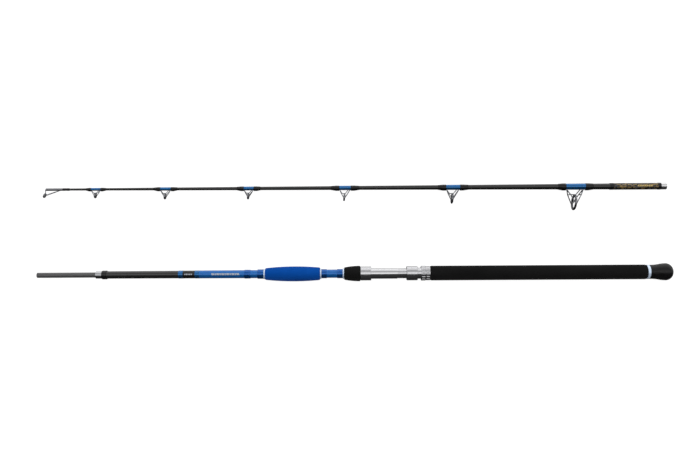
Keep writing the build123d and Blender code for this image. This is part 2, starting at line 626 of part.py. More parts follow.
def make_seat_tube():
    smooth_end = SEAT_START + SEAT_SMOOTH_LENGTH
    outline = [
        (SEAT_START, SEAT_TUBE_BORE_RADIUS),
        (SEAT_START, SEAT_TUBE_RADIUS),
        (smooth_end, SEAT_TUBE_RADIUS),
        (smooth_end, THREAD_ROOT_RADIUS),
        (SEAT_END, THREAD_ROOT_RADIUS),
        (SEAT_END, SEAT_TUBE_BORE_RADIUS),
    ]
    tube = turned(outline)
    return tube - keyway(SEAT_START + FIXED_HOOD_LENGTH, SEAT_END)


def make_seat_thread():
    """The thread's crests, as one ring for each turn, open at the keyway."""
    smooth_end = SEAT_START + SEAT_SMOOTH_LENGTH
    turns = int((SEAT_END - smooth_end - END_GAP) // THREAD_PITCH)
    rings = []
    for turn in range(turns):
        start = smooth_end + THREAD_PITCH * turn
        foot, top, top_end, foot_end = (start + THREAD_PITCH * share for share in THREAD_PROFILE)
        outline = [
            (foot, THREAD_ROOT_RADIUS),
            (top, THREAD_CREST_RADIUS),
            (top_end, THREAD_CREST_RADIUS),
            (foot_end, THREAD_ROOT_RADIUS),
        ]
        rings.append(turned(outline) - keyway(start, start + THREAD_PITCH + END_GAP))
    return Compound(children=[solid for ring in rings for solid in ring.solids()])


def make_arbors():
    """The two bushings that hold the seat tube on the blank."""
    starts = (SEAT_START + ARBOR_INSET, SEAT_END - ARBOR_INSET - ARBOR_LENGTH)
    bushings = [
        turned_between(start, start + ARBOR_LENGTH, BUTT_BLANK_RADIUS, SEAT_TUBE_BORE_RADIUS)
        for start in starts
    ]
    return Compound(children=bushings)


def knurl(nut, start, end, radius):
    """Cut straight grip grooves into a nut."""
    groove = rod_between(start + KNURL_MARGIN, end - KNURL_MARGIN, KNURL_GROOVE_RADIUS)
    for index in range(KNURL_GROOVES):
        angle = 360 / KNURL_GROOVES * index
        nut -= Rot(angle, 0, 0) * Pos(0, radius + KNURL_GROOVE_RADIUS - KNURL_GROOVE_DEPTH, 0) * groove
    return nut


def make_clamp_nut():
    lip_end = HOOD_LIP_START - END_GAP
    lip_start = lip_end - NUT_LIP_LENGTH
    outline = [
        (lip_start, NUT_BORE_RADIUS),
        (lip_start, NUT_LIP_RADIUS),
        (lip_end, NUT_LIP_RADIUS),
        (lip_end, NUT_COLLAR_RADIUS),
        (CLAMP_NUT_START, NUT_COLLAR_RADIUS),
        (CLAMP_NUT_START, CLAMP_NUT_RADIUS),
        (CLAMP_NUT_END, CLAMP_NUT_RADIUS),
        (CLAMP_NUT_END, NUT_BORE_RADIUS),
    ]
    nut = turned(outline, outline[5:7], NUT_ROUNDING)
    return knurl(nut, CLAMP_NUT_START, CLAMP_NUT_END, CLAMP_NUT_RADIUS)


def make_lock_nut():
    outline = [
        (LOCK_NUT_START, NUT_BORE_RADIUS),
        (LOCK_NUT_START, LOCK_NUT_RADIUS),
        (LOCK_NUT_END, LOCK_NUT_RADIUS),
        (LOCK_NUT_END, NUT_BORE_RADIUS),
    ]
    nut = turned(outline, outline[1:3], NUT_ROUNDING)
    return knurl(nut, LOCK_NUT_START, LOCK_NUT_END, LOCK_NUT_RADIUS)


def make_gimbal_nock():
    """The nock on the blank's end, with crossed slots for the pin in a rod holder."""
    end = NOCK_START + NOCK_LENGTH
    socket_end = NOCK_START + NOCK_SOLID_LENGTH
    outline = [
        (NOCK_START, BUTT_BLANK_RADIUS),
        (NOCK_START, NOCK_RADIUS),
        (end, NOCK_RADIUS),
        (end, NOCK_BORE_RADIUS),
        (socket_end, NOCK_BORE_RADIUS),
        (socket_end, 0),
        (BUTT_BLANK_END, 0),
        (BUTT_BLANK_END, BUTT_BLANK_RADIUS),
    ]
    nock = turned(outline, outline[2:3], NOCK_ROUNDING)
    slot_x = end - NOCK_SLOT_DEPTH / 2
    across = 2.2 * NOCK_RADIUS
    nock -= Pos(slot_x, 0, 0) * Box(NOCK_SLOT_DEPTH, across, NOCK_SLOT_WIDTH)
    nock -= Pos(slot_x, 0, 0) * Box(NOCK_SLOT_DEPTH, NOCK_SLOT_WIDTH, across)
    return nock


def make_butt_cap():
    start = NOCK_START + END_GAP
    end = NOCK_START + CAP_LENGTH
    grip_end = NOCK_START + CAP_GRIP_LENGTH
    flare_x = end - CAP_SHOULDER_LENGTH
    lip = (start, CAP_FRONT_RADIUS)
    waist = (start + CAP_WAIST_X, CAP_FRONT_RADIUS + CAP_WAIST_RISE)
    flare = (flare_x, CAP_FLARE_RADIUS)
    dome = (end, CAP_END_RADIUS)
    relief = CAP_BORE_RADIUS + CAP_RELIEF
    flank = Spline(lip, waist, flare, tangents=((1, 0), (1, 0)))
    shoulder = TangentArc(flare, dome, tangent=(1, 0))
    hollow = Polyline(
        dome,
        (end, 0),
        (end - CAP_FLOOR, 0),
        (end - CAP_FLOOR, relief),
        (grip_end, relief),
        (grip_end, CAP_BORE_RADIUS),
        (start, CAP_BORE_RADIUS),
        lip,
    )
    return revolve(make_face([flank, shoulder, hollow]), Axis.X)


def save_tip_section():
    save("tip_blank", make_tip_blank(), TIP_PLACE)
    frame, ring = make_tip_top()
    save("tip_top_frame", frame, TIP_PLACE)
    save("tip_top_ring", ring, TIP_PLACE)
    whippings = [
        sleeve(TIP_RADII, start, end, TIP_WHIPPING_THICKNESS, THREAD_ROUNDING)
        for start, end in TIP_WHIPPINGS
    ]
    save("tip_top_whippings", Compound(children=whippings), TIP_PLACE)
    for number, guide in enumerate(GUIDES, start=1):
        frame, ring, bindings, band = make_guide(guide)
        save(f"guide_{number}_frame", frame, TIP_PLACE)
        save(f"guide_{number}_ring", ring, TIP_PLACE)
        save(f"guide_{number}_bindings", bindings, TIP_PLACE)
        save(f"guide_{number}_band", band, TIP_PLACE)
    for name, start, end, thickness, rounding in (
        ("ferrule_front_band", FRONT_BAND_START, FERRULE_SLEEVE_START,
         FERRULE_FRONT_BAND_THICKNESS, THREAD_ROUNDING),
        ("ferrule_sleeve", FERRULE_SLEEVE_START, REAR_BAND_START,
         FERRULE_SLEEVE_THICKNESS, 0.0),
        ("ferrule_rear_band", REAR_BAND_START, FERRULE_RING_START,
         FERRULE_REAR_BAND_THICKNESS, THREAD_ROUNDING),
    ):
        save(name, sleeve(TIP_RADII, start, end, thickness, rounding), TIP_PLACE)
    ferrule_ring = sleeve(TIP_RADII, FERRULE_RING_START, TIP_LENGTH, FERRULE_RING_THICKNESS)
    save("ferrule_ring", ferrule_ring, TIP_PLACE)


def save_butt_section():
    save("butt_blank", make_butt_blank(), BUTT_PLACE)
    save("spigot", make_spigot(), BUTT_PLACE)
    save("spigot_stop_ring", make_stop_ring(), BUTT_PLACE)
    knob = sleeve(BUTT_RADII, KNOB_START, BARE_START, KNOB_THICKNESS, KNOB_ROUNDING)
    save("ferrule_knob_binding", knob, BUTT_PLACE)
    bands = [
        sleeve(BUTT_RADII, start, start + PANEL_BAND_LENGTH, PANEL_BAND_THICKNESS, THREAD_ROUNDING)
        for start in (PANEL_BAND_START, PANEL_END)
    ]
    save("panel_bands", Compound(children=bands), BUTT_PLACE)
    save("data_panel", sleeve(BUTT_RADII, PANEL_START, PANEL_END, PANEL_THICKNESS), BUTT_PLACE)
    front_sleeve = sleeve(BUTT_RADII, FRONT_SLEEVE_START, FRONT_CHECK_START, LACQUER_THICKNESS)
    rear_sleeve = sleeve(BUTT_RADII, REAR_SLEEVE_START, REAR_CHECK_START, LACQUER_THICKNESS)
    save("lacquer_sleeve_front", front_sleeve, BUTT_PLACE)
    save("lacquer_sleeve_rear", rear_sleeve, BUTT_PLACE)
    save("trim_bindings", make_trim_wraps(), BUTT_PLACE)
    checks = [make_check(start) for start in (FRONT_CHECK_START, MIDDLE_CHECK_START, REAR_CHECK_START)]
    save("winding_checks", Compound(children=checks), BUTT_PLACE)
    save("foregrip", make_foregrip(), BUTT_PLACE)
    save("cone_grip", make_cone_grip(), BUTT_PLACE)
    save("rear_grip", make_rear_grip(), BUTT_PLACE)
    trim_ring = turned_between(REAR_GRIP_END, NOCK_START, BUTT_BLANK_RADIUS, TRIM_RING_RADIUS)
    save("rear_trim_ring", trim_ring, BUTT_PLACE)
    save("gimbal_nock", make_gimbal_nock(), BUTT_PLACE)


def save_reel_seat():
    save("seat_tube", make_seat_tube(), BUTT_PLACE)
    save("seat_thread", make_seat_thread(), BUTT_PLACE)
    save("seat_arbors", make_arbors(), BUTT_PLACE)
    save("fixed_hood", make_fixed_hood(), BUTT_PLACE)
    save("sliding_hood", make_sliding_hood(), BUTT_PLACE)
    save("clamp_nut", make_clamp_nut(), BUTT_PLACE)
    save("lock_nut", make_lock_nut(), BUTT_PLACE)


os.makedirs("parts", exist_ok=True)
save_tip_section()
save_butt_section()
save_reel_seat()
save("butt_cap", make_butt_cap(), BUTT_PLACE)
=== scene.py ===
import math

import bmesh
import bpy
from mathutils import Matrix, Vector, noise


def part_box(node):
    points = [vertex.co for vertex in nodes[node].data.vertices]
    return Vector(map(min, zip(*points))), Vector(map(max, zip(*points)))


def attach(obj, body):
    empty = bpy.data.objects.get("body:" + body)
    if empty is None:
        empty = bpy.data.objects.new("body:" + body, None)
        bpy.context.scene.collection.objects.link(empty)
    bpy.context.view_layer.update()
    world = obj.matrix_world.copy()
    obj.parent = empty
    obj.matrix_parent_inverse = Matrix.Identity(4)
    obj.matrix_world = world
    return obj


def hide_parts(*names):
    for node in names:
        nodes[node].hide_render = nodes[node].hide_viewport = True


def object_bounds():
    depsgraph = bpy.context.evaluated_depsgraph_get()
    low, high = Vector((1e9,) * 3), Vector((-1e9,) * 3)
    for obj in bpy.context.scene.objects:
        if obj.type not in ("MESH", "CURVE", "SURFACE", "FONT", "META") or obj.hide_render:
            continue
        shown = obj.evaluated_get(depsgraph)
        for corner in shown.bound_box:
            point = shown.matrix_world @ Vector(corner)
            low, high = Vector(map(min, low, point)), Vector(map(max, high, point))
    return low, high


# The looks of a two-piece boat rod that lies in two parallel sections. Metres, in the CAD frame:
# +X from the tip towards the butt, +Y away from the side that the guides face, +Z up.

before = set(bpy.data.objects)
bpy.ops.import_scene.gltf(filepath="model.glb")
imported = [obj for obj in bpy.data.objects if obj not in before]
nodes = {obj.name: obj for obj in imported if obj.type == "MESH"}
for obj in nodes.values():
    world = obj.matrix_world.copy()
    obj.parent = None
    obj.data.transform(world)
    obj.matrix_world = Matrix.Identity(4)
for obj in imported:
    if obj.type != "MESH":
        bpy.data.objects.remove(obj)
cad_low, cad_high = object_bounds()

MM = 0.001
TAU = 2 * math.pi

# ---- camera, over the two sections
CAMERA_LENS = 36.8  # millimetres
CAMERA_SENSOR = 36.0  # millimetres wide
CAMERA_HEIGHT = 1.4363  # above the middle of the object's height
CAMERA_OFFSET = (-0.009, -0.0096)  # from the middle of the object's box
CAMERA_ROLL = -0.33  # degrees

# ---- light
SKY_STRENGTH = 1.17
FLOOR_SIZE = 14.0
FLOOR_COLOUR = (120, 120, 121)
FLOOR_GLOW = 0.93  # the lit table under the rods, so that they leave hardly any shadow
FILL_SIZE = 3.0
FILL_PLACE = (0.0, 0.9, 2.4)
FILL_TILT = -20.0  # degrees about X
FILL_POWER = 52.0
BACKDROP_COLOUR = (255, 255, 255)

# ---- what the materials share
WINDING_PITCH = 0.28 * MM  # one turn of binding thread
FLAKE_SIZE = 0.7 * MM  # the pearl flakes in the lacquer
TOOL_LINE = 0.18 * MM  # the spacing of the lines on turned metal


# ---------------------------------------------------------------- helpers: places

def axis_of(node):
    """(y, z) of the axis that a turned node lies on."""
    low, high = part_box(node)
    return (low.y + high.y) / 2, (low.z + high.z) / 2


def span_of(node):
    """(start, end) of a node along X."""
    low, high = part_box(node)
    return low.x, high.x


def radius_of(node):
    """The largest radius of a turned node."""
    low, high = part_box(node)
    return (high.z - low.z) / 2


TIP_AXIS = axis_of("ferrule_sleeve")
BUTT_AXIS = axis_of("rear_grip")


# ---------------------------------------------------------------- helpers: colour and nodes

def linear(value):
    """One sRGB channel, 0 to 255, as the linear share that shaders take."""
    share = value / 255
    return share / 12.92 if share <= 0.04045 else ((share + 0.055) / 1.055) ** 2.4


def colour(rgb, gain=1.0):
    """An sRGB colour, 0 to 255, as linear RGBA, made brighter or darker by gain."""
    return tuple(linear(channel) * gain for channel in rgb) + (1.0,)


class Nodes:
    """A short way to write one material's node tree."""

    def __init__(self, name):
        self.material = bpy.data.materials.new(name)
        self.material.use_nodes = True
        self.tree = self.material.node_tree
        self.shader = self.tree.nodes["Principled BSDF"]

    def add(self, kind, **settings):
        """A new node; kind is its type without ShaderNode in front."""
        node = self.tree.nodes.new("ShaderNode" + kind)
        for key, value in settings.items():
            setattr(node, key, value)
        return node

    def link(self, source, target):
        self.tree.links.new(source, target)

    def put(self, socket, value):
        """Link an output, or set a plain value."""
        if isinstance(value, bpy.types.NodeSocket):
            self.link(value, socket)
        else:
            socket.default_value = value

    def set(self, **values):
        """Set the shader's own sockets; underscores stand for spaces."""
        for key, value in values.items():
            self.put(self.shader.inputs[key.replace("_", " ")], value)

    def place(self):
        """The piece's own coordinates, in metres."""
        return self.add("TexCoord").outputs["Object"]

    def math(self, operation, a, b=0.0, c=0.0):
        node = self.add("Math", operation=operation)
        self.put(node.inputs[0], a)
        self.put(node.inputs[1], b)
        self.put(node.inputs[2], c)
        return node.outputs[0]

    def around(self, axis):
        """(x, angle) on a turned piece: metres along it, and radians about its axis."""
        split = self.add("SeparateXYZ")
        self.link(self.place(), split.inputs[0])
        side = self.math("SUBTRACT", split.outputs["Y"], axis[0])
        height = self.math("SUBTRACT", split.outputs["Z"], axis[1])
        return split.outputs["X"], self.math("ARCTAN2", side, height)

    def noise(self, size, detail=2.0, roughness=0.5, stretch=(1, 1, 1)):
        """Noise with features of about size metres, times stretch along each axis."""
        mapping = self.add("Mapping")
        self.link(self.place(), mapping.inputs["Vector"])
        mapping.inputs["Scale"].default_value = tuple(1 / (size * part) for part in stretch)
        texture = self.add("TexNoise")
        self.link(mapping.outputs[0], texture.inputs["Vector"])
        texture.inputs["Scale"].default_value = 1.0
        texture.inputs["Detail"].default_value = detail
        texture.inputs["Roughness"].default_value = roughness
        return texture.outputs["Fac"]

    def line_noise(self, along, size, detail=2.0):
        """Noise that changes only with one measure."""
        texture = self.add("TexNoise", noise_dimensions="1D")
        self.put(texture.inputs["W"], self.math("DIVIDE", along, size))
        texture.inputs["Scale"].default_value = 1.0
        texture.inputs["Detail"].default_value = detail
        return texture.outputs["Fac"]

    def cells(self, size):
        """Cells of about size metres: a Voronoi node, for its Distance or its Color."""
        voronoi = self.add("TexVoronoi")
        self.link(self.place(), voronoi.inputs["Vector"])
        voronoi.inputs["Scale"].default_value = 1 / size
        return voronoi

    def span(self, value, low, high, to_low, to_high):
        """Map a value's range onto another one, clamped."""
        node = self.add("MapRange")
        for socket, part in zip(node.inputs, (value, low, high, to_low, to_high)):
            self.put(socket, part)
        return node.outputs[0]

    def mix(self, share, first, second):
        """A colour between two others."""
        node = self.add("Mix", data_type="RGBA")
        self.put(node.inputs[0], share)
        self.put(node.inputs[6], first)
        self.put(node.inputs[7], second)
        return node.outputs[2]

    def bump(self, height, distance, strength, under=None):
        """A normal from a height of 0 to 1 over distance metres, on top of another bump."""
        node = self.add("Bump")
        self.put(node.inputs["Height"], height)
        node.inputs["Distance"].default_value = distance
        node.inputs["Strength"].default_value = strength
        if under is not None:
            self.link(under, node.inputs["Normal"])
        return node.outputs[0]

    def ridges(self, along, pitch):
        """Rounded ridges, 0 to 1, one for each pitch along a measure."""
        wave = self.math("SINE", self.math("MULTIPLY", along, math.pi / pitch))
        return self.math("ABSOLUTE", wave)


def paint(material, *names):
    """Give CAD nodes or pieces one material."""
    for name in names:
        data = bpy.data.objects[name].data
        data.materials.clear()
        data.materials.append(material)


# ---------------------------------------------------------------- materials

def blank_material(name, axis, base, pitch):
    """Composite blank: a spiral tape print, faint lengthwise fibres, under clear gloss lacquer."""
    n = Nodes(name)
    x, angle = n.around(axis)
    turn = n.math("MULTIPLY_ADD", angle, pitch / TAU, x)
    tape = n.math("POWER", n.ridges(turn, pitch), 0.35)
    fibre = n.noise(0.0008, detail=3.0, stretch=(14, 1, 1))
    cloud = n.noise(0.02, detail=2.0)
    shade = n.math("MULTIPLY_ADD", tape, 0.25, n.math("MULTIPLY", fibre, 0.5))
    shade = n.math("MULTIPLY_ADD", cloud, 0.35, shade)
    tone = n.mix(n.span(shade, 0.35, 0.85, 0.0, 1.0), colour(base, 0.62), colour(base, 1.4))
    n.set(Base_Color=tone, Roughness=n.span(cloud, 0.35, 0.65, 0.24, 0.34), IOR=1.5)
    n.set(Specular_IOR_Level=0.35, Coat_Weight=0.8, Coat_Roughness=0.06, Coat_IOR=1.5)
    n.set(Normal=n.bump(tape, 0.00004, 0.7))
    return n.material


def ground_material():
    """Ground composite: fine scratches round the spigot, and worn, lighter streaks along it."""
    n = Nodes("ground_composite")
    x, angle = n.around(BUTT_AXIS)
    scratch = n.line_noise(n.math("MULTIPLY_ADD", angle, 0.00012, x), 0.00016, detail=3.0)
    wear = n.noise(0.004, detail=3.0, stretch=(9, 1, 1))
    shade = n.math("MULTIPLY_ADD", scratch, 0.45, n.math("MULTIPLY", wear, 0.55))
    n.set(Base_Color=n.mix(shade, colour((46, 46, 47)), colour((86, 86, 87))))
    n.set(Roughness=n.span(wear, 0.3, 0.7, 0.26, 0.42), IOR=1.6)
    n.set(Normal=n.bump(scratch, 0.00003, 0.8))
    return n.material


def thread_material(name, axis, dark, light, metal, coat):
    """Thread wound side by side under clear epoxy that is thicker in some places, with painted
    sheen.
    """
    n = Nodes(name)
    x, angle = n.around(axis)
    lay = n.math("MULTIPLY_ADD", angle, WINDING_PITCH / TAU, x)
    # painted sheen and shade: each turn is lighter on its crown and darker in the groove beside it;
    # the same ridges give the bump its real relief
    thread = n.ridges(lay, WINDING_PITCH)
    strand = n.line_noise(x, WINDING_PITCH * 2.6, detail=1.0)
    # painted glints: patches where the thread colour is lighter
    glint = n.noise(0.0016, detail=2.0, stretch=(0.25, 1, 1))
    share = n.math("MULTIPLY_ADD", thread, 0.45, n.math("MULTIPLY", strand, 0.3))
    share = n.math("MULTIPLY_ADD", glint, 0.35, share)
    n.set(Base_Color=n.mix(n.span(share, 0.3, 0.85, 0.0, 1.0), colour(dark), colour(light)))
    n.set(Metallic=metal, Roughness=n.span(glint, 0.3, 0.7, 0.2, 0.32), Specular_IOR_Level=0.25)
    n.set(Coat_Weight=coat, Coat_Roughness=0.05, Coat_IOR=1.5)
    n.set(Normal=n.bump(thread, 0.00006, 0.8))
    level = n.noise(0.005, detail=1.0, stretch=(0.6, 1, 1))
    n.set(Coat_Normal=n.bump(level, 0.00035, 0.6))
    return n.material


def lacquer_material(name, base, light, metal, coat):
    """Deep lacquer with fine pearl flakes under a clear coat."""
    n = Nodes(name)
    flakes = n.cells(FLAKE_SIZE)
    pick = n.span(flakes.outputs["Color"], 0.55, 1.0, 0.0, 1.0)
    cloud = n.noise(0.012, detail=2.0)
    share = n.math("MULTIPLY_ADD", pick, 0.5, n.math("MULTIPLY", cloud, 0.4))
    n.set(Base_Color=n.mix(share, colour(base), colour(light)))
    n.set(Metallic=metal, Roughness=n.span(cloud, 0.3, 0.7, 0.3, 0.4), Specular_IOR_Level=0.3)
    n.set(Coat_Weight=coat, Coat_Roughness=0.05, Coat_IOR=1.5)
    peel = n.noise(0.0035, detail=1.0)
    n.set(Coat_Normal=n.bump(peel, 0.00012, 0.5))
    return n.material


def clouded_material(name):
    """Black lacquer clouded with blue-grey and with brown gold, under a clear coat."""
    n = Nodes(name)
    cloud = n.noise(0.0035, detail=3.0, stretch=(1.4, 1, 1))
    patch = n.noise(0.007, detail=1.0, stretch=(1.2, 1, 1))
    tint = n.mix(n.span(patch, 0.42, 0.58, 0.0, 1.0), colour((66, 76, 92)), colour((156, 128, 76)))
    share = n.span(cloud, 0.46, 0.68, 0.0, 1.0)
    n.set(Base_Color=n.mix(share, colour((12, 12, 15)), tint))
    n.set(Metallic=n.span(cloud, 0.46, 0.68, 0.1, 0.6), Roughness=0.34, Specular_IOR_Level=0.3)
    n.set(Coat_Weight=0.7, Coat_Roughness=0.06)
    n.set(Coat_Normal=n.bump(n.noise(0.003, detail=1.0), 0.00012, 0.5))
    return n.material


def foam_material(name, dark, light, rub):
    """Sanded closed-cell foam: cut cells, small open pores in painted shade, slightly polished high
    spots.
    """
    n = Nodes(name)
    grain = n.noise(0.0007, detail=4.0, roughness=0.65)
    cells = n.cells(0.0011)
    pore_and_shade = n.span(cells.outputs["Distance"], 0.0, 0.28, 0.0, 1.0)
    handled = n.noise(0.03, detail=3.0, stretch=(2.5, 1, 1))
    share = n.math("MULTIPLY_ADD", grain, 0.55, n.math("MULTIPLY", handled, 0.45))
    tone = n.mix(n.span(share, 0.35, 0.65, 0.0, 1.0), colour(dark), colour(light))
    # painted shade: the pores darken the foam to a shaded copy of its dark colour, at 0.55
    tone = n.mix(n.math("SUBTRACT", 1.0, pore_and_shade), tone, colour(dark, 0.55))
    n.set(Base_Color=tone, Roughness=n.span(handled, 0.3, 0.7, 0.95, rub))
    n.set(Specular_IOR_Level=0.02, Sheen_Weight=0.02, Sheen_Roughness=0.5)
    under = n.bump(grain, 0.00022, 0.8)
    n.set(Normal=n.bump(pore_and_shade, 0.00016, 0.7, under))
    return n.material


def rubber_material():
    """Moulded black rubber, faintly bloomed, a little glossier where it is handled."""
    n = Nodes("moulded_rubber")
    grain = n.noise(0.0005, detail=3.0)
    bloom = n.noise(0.008, detail=3.0)
    share = n.span(bloom, 0.35, 0.65, 0.0, 1.0)
    n.set(Base_Color=n.mix(share, colour((10, 10, 11)), colour((16, 16, 17))))
    n.set(Roughness=n.span(bloom, 0.35, 0.65, 0.3, 0.42), Specular_IOR_Level=0.3)
    n.set(Normal=n.bump(grain, 0.00008, 0.6))
    return n.material


def turned_metal_material(name, axis, tone, smooth, rough):
    """Turned and polished metal: hair-fine tool lines round it, soft stains and small nicks."""
    n = Nodes(name)
    x, angle = n.around(axis)
    lines = n.line_noise(n.math("MULTIPLY_ADD", angle, 0.00005, x), TOOL_LINE, detail=3.0)
    stain = n.noise(0.006, detail=3.0)
    nick = n.noise(0.0009, detail=2.0, stretch=(1, 3, 3))
    share = n.math("MULTIPLY_ADD", lines, 0.4, n.math("MULTIPLY", stain, 0.6))
    n.set(Base_Color=n.mix(share, colour(tone, 0.8), colour(tone)))
    n.set(Metallic=1.0)
    n.set(Roughness=n.span(n.math("MULTIPLY_ADD", nick, 0.5, stain), 0.5, 1.0, smooth, rough))
    n.set(Normal=n.bump(lines, 0.000012, 0.6))
    return n.material


def wire_metal_material():
    """Smoked stainless steel wire, bright only in fine drawing scratches."""
    n = Nodes("smoked_steel")
    drawn = n.noise(0.0007, detail=3.0, stretch=(4, 1, 1))
    heat = n.noise(0.01, detail=2.0)
    share = n.math("MULTIPLY_ADD", drawn, 0.5, n.math("MULTIPLY", heat, 0.5))
    n.set(Base_Color=n.mix(share, colour((112, 113, 118)), colour((168, 168, 172))))
    n.set(Metallic=1.0, Roughness=n.span(drawn, 0.3, 0.7, 0.2, 0.34))
    n.set(Normal=n.bump(drawn, 0.00001, 0.5))
    return n.material


def ceramic_material():
    """Polished grey ceramic with the faintest mottling."""
    n = Nodes("polished_ceramic")
    mottle = n.noise(0.0012, detail=3.0)
    n.set(Base_Color=n.mix(mottle, colour((30, 31, 34)), colour((52, 53, 57))))
    n.set(Roughness=n.span(mottle, 0.3, 0.7, 0.08, 0.16), IOR=2.0)
    n.set(Normal=n.bump(mottle, 0.000006, 0.4))
    return n.material


def resin_material():
    """Cast resin, unpainted, a little uneven in its colour."""
    n = Nodes("cast_resin")
    grain = n.noise(0.0012, detail=4.0)
    n.set(Base_Color=n.mix(grain, colour((120, 112, 96)), colour((150, 142, 124))))
    n.set(Roughness=n.span(grain, 0.3, 0.7, 0.5, 0.7))
    n.set(Normal=n.bump(grain, 0.00005, 0.6))
    return n.material


def foil_material(name, tone, smooth):
    """Metal foil under the lacquer, slightly broken in its colour."""
    n = Nodes(name)
    speckle = n.noise(0.0009, detail=3.0)
    n.set(Base_Color=n.mix(speckle, colour(tone, 0.7), colour(tone)))
    n.set(Metallic=0.85, Roughness=n.span(speckle, 0.3, 0.7, smooth, smooth + 0.12))
    n.set(Coat_Weight=0.8, Coat_Roughness=0.06)
    n.set(Normal=n.bump(speckle, 0.00001, 0.4))
    return n.material


def pearl_material():
    """Pale pearl trim: milky under a hard polish."""
    n = Nodes("pearl_trim")
    cloud = n.noise(0.003, detail=3.0)
    n.set(Base_Color=n.mix(cloud, colour((186, 208, 234)), colour((226, 238, 252))))
    n.set(Metallic=0.3, Roughness=n.span(cloud, 0.3, 0.7, 0.22, 0.34), IOR=1.5)
    n.set(Coat_Weight=0.6, Coat_Roughness=0.05)
    n.set(Normal=n.bump(cloud, 0.00002, 0.4))
    return n.material


# ---------------------------------------------------------------- meshes

def new_piece(name, mesh, body, slot, material, *replaced):
    """A piece that rides on a body and stands for the replaced CAD nodes, if any."""
    mesh.materials.append(material)
    piece = bpy.data.objects.new(name, mesh)
    bpy.context.scene.collection.objects.link(piece)
    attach(piece, body)
    if replaced:
        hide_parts(*replaced)
    return piece


def mesh_from(name, verts, faces, smooth_angle=35.0):
    """A mesh, shaded smooth but for the edges that are sharper than smooth_angle degrees."""
    mesh = bpy.data.meshes.new(name)
    mesh.from_pydata(verts, [], faces)
    mesh.update()
    work = bmesh.new()
    work.from_mesh(mesh)
    bmesh.ops.recalc_face_normals(work, faces=work.faces)
    work.to_mesh(mesh)
    work.free()
    mesh.shade_smooth()
    mesh.set_sharp_from_angle(angle=math.radians(smooth_angle))
    return mesh


def lathe(name, outline, axis, steps, shape):
    """A closed mesh from a closed (x, radius) outline turned about an axis along X.

    shape(x, radius, angle) gives the radius there, because the surface isn't perfectly round."""
    verts = []
    for x, radius in outline:
        for step in range(steps):
            angle = TAU * step / steps
            reach = shape(x, radius, angle)
            verts.append((x, axis[0] + reach * math.sin(angle), axis[1] + reach * math.cos(angle)))
    faces = []
    for row in range(len(outline)):
        here = row * steps
        after = ((row + 1) % len(outline)) * steps
        for step in range(steps):
            beside = (step + 1) % steps
            faces.append((here + step, here + beside, after + beside, after + step))
    return mesh_from(name, verts, faces)


# ---------------------------------------------------------------- foam grips

GRIP_STEPS = 96  # round a grip
GRIP_ROW = 1.6 * MM  # along it
END_ROWS = 6  # in the rounding of each end
FOAM_WAVES = ((14 * MM, 0.07 * MM), (4 * MM, 0.03 * MM))  # size and height of its unevenness
FOREGRIP_END_RADII = (11.8 * MM, 12.6 * MM)  # front and rear, as in the CAD
CONE_FRONT_RADIUS = 12.4 * MM  # as in the CAD


def uneven(x, radius, angle):
    """Foam sanded round by hand: slightly lower in places, never above the CAD surface."""
    y, z = radius * math.sin(angle), radius * math.cos(angle)
    low = 0.0
    for size, height in FOAM_WAVES:
        low += height * (0.5 + 0.5 * noise.noise(Vector((x, y, z)) / size))
    return radius - low


def rounded_ends(start, end, outer, run_in, drop):
    """Outline rows of a grip whose ends round off by drop over run_in; outer(x) is its radius."""
    front = []
    for step in range(END_ROWS + 1):
        turn = math.pi / 2 * step / END_ROWS
        front.append((start + run_in * (1 - math.cos(turn)), drop * (1 - math.sin(turn))))
    straight = end - start - 2 * run_in
    count = round(straight / GRIP_ROW)
    middle = [(start + run_in + straight * row / count, 0.0) for row in range(1, count)]
    rear = [(start + end - x, fall) for x, fall in reversed(front)]
    return [(x, outer(x) - fall) for x, fall in front + middle + rear]


def through(points, x):
    """The value at x of the parabola through three (x, y) points."""
    (x0, y0), (x1, y1), (x2, y2) = points
    return (
        y0 * (x - x1) * (x - x2) / ((x0 - x1) * (x0 - x2))
        + y1 * (x - x0) * (x - x2) / ((x1 - x0) * (x1 - x2))
        + y2 * (x - x0) * (x - x1) / ((x2 - x0) * (x2 - x1))
    )


def make_grip(node, outer, material, slot, run_in, drop):
    """Foam that stands for a CAD grip, with the blank through it."""
    start, end = span_of(node)
    bore = radius_of("butt_blank")
    skin = rounded_ends(start, end, outer, run_in, drop)
    outline = skin + [(end, bore), (start, bore)]

    def shape(x, radius, angle):
        return radius if radius <= bore else uneven(x, radius, angle)

    mesh = lathe(node + "_foam", outline, BUTT_AXIS, GRIP_STEPS, shape)
    piece = new_piece(node + "_foam", mesh, "butt_section", slot, material, node)


def make_grips():
    blue = foam_material("blue_foam", (2, 59, 134), (14, 75, 158), 0.8)
    black = foam_material("black_foam", (17, 17, 17), (25, 25, 25), 0.78)

    start, end = span_of("foregrip")
    front, rear = FOREGRIP_END_RADII
    belly = [(start, front), ((start + end) / 2, radius_of("foregrip")), (end, rear)]

    def bellied(x):
        return through(belly, x)

    make_grip("foregrip", bellied, blue, "foam_blue", run_in=2.2 * MM, drop=1.3 * MM)

    start, end = span_of("cone_grip")
    full = radius_of("cone_grip")
    flank = [(start, CONE_FRONT_RADIUS), (end, full), (2 * end - start, CONE_FRONT_RADIUS)]

    def coned(x):
        return through(flank, x)

    make_grip("cone_grip", coned, black, "foam_black", run_in=1.6 * MM, drop=1.2 * MM)

    def straight(x):
        return radius_of("rear_grip")

    make_grip("rear_grip", straight, black, "foam_black", run_in=3.6 * MM, drop=1.9 * MM)


# ---------------------------------------------------------------- reel seat thread

